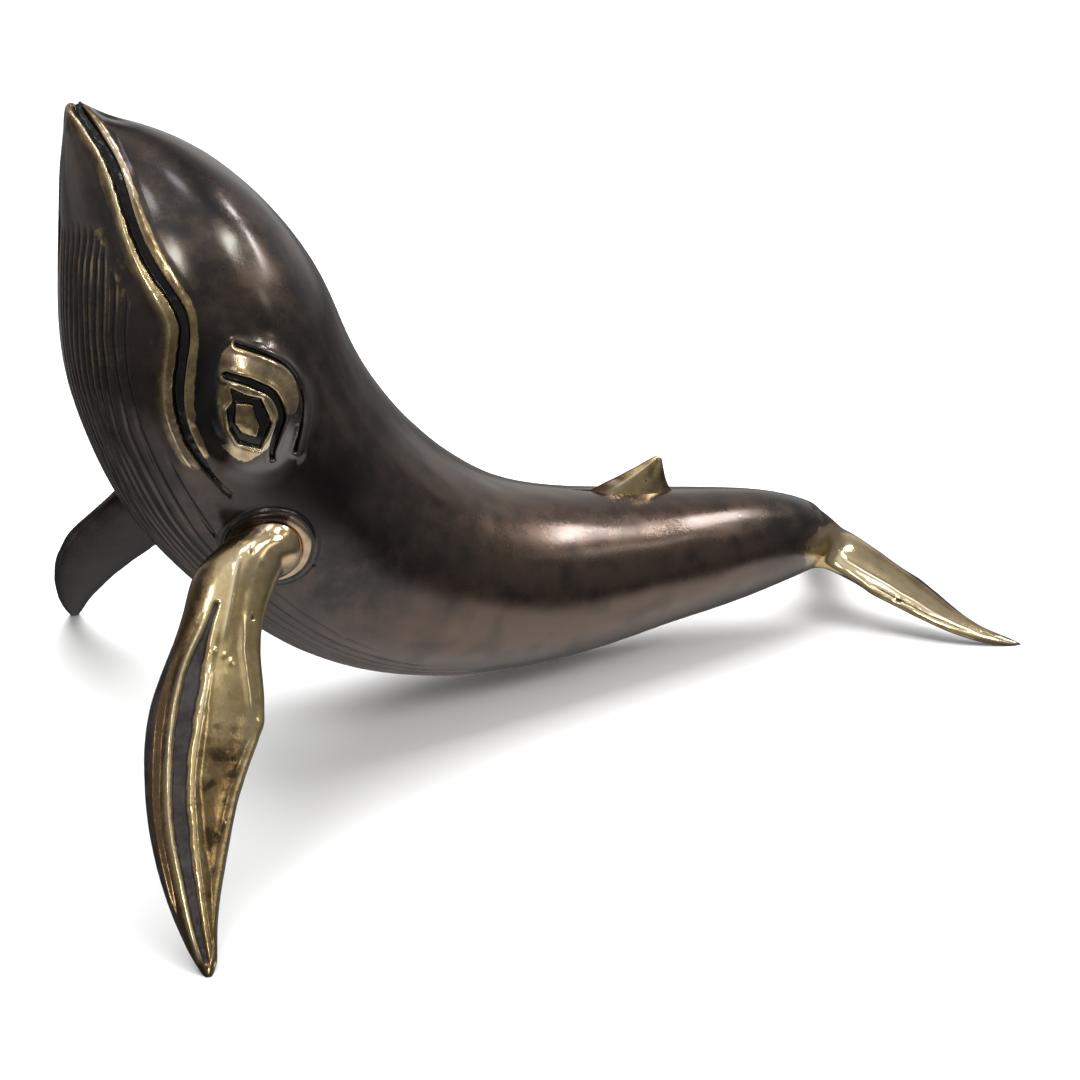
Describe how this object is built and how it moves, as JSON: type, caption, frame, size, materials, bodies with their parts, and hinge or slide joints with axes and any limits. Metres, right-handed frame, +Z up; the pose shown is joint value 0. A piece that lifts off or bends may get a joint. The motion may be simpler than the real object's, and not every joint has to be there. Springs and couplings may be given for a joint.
{
  "type": "whale figurine",
  "caption": "Humpback whale figurine in cast bronze with polished brass fins, head raised, standing on its fin and fluke tips.",
  "frame": {"origin": "on the ground, under the middle of the bounding box", "axes": "+X from the whale's head to its tail, +Z up, the whale's left side at -Y"},
  "size_m": [0.3078, 0.2258, 0.1898],
  "materials": {
    "patinated_bronze": "dark brown heat patina under gloss wax",
    "polished_brass": "hand polished, worn, with dark patina left in the hollows",
    "collar_brass": "brazed ring, buffed",
    "brass_rod": "drawn rod, as cut"
  },
  "bodies": {
    "root": {"left_body_shell": "patinated_bronze", "right_body_shell": "patinated_bronze", "left_pectoral_fin": "polished_brass", "right_pectoral_fin": "polished_brass", "left_fin_collar": "collar_brass", "right_fin_collar": "collar_brass", "left_tenon_pin": "brass_rod", "right_tenon_pin": "brass_rod", "dorsal_fin": "polished_brass", "tail_flukes": "polished_brass", "tail_pin": "brass_rod", "seam_dowels": "brass_rod"}
  },
  "joints": []
}
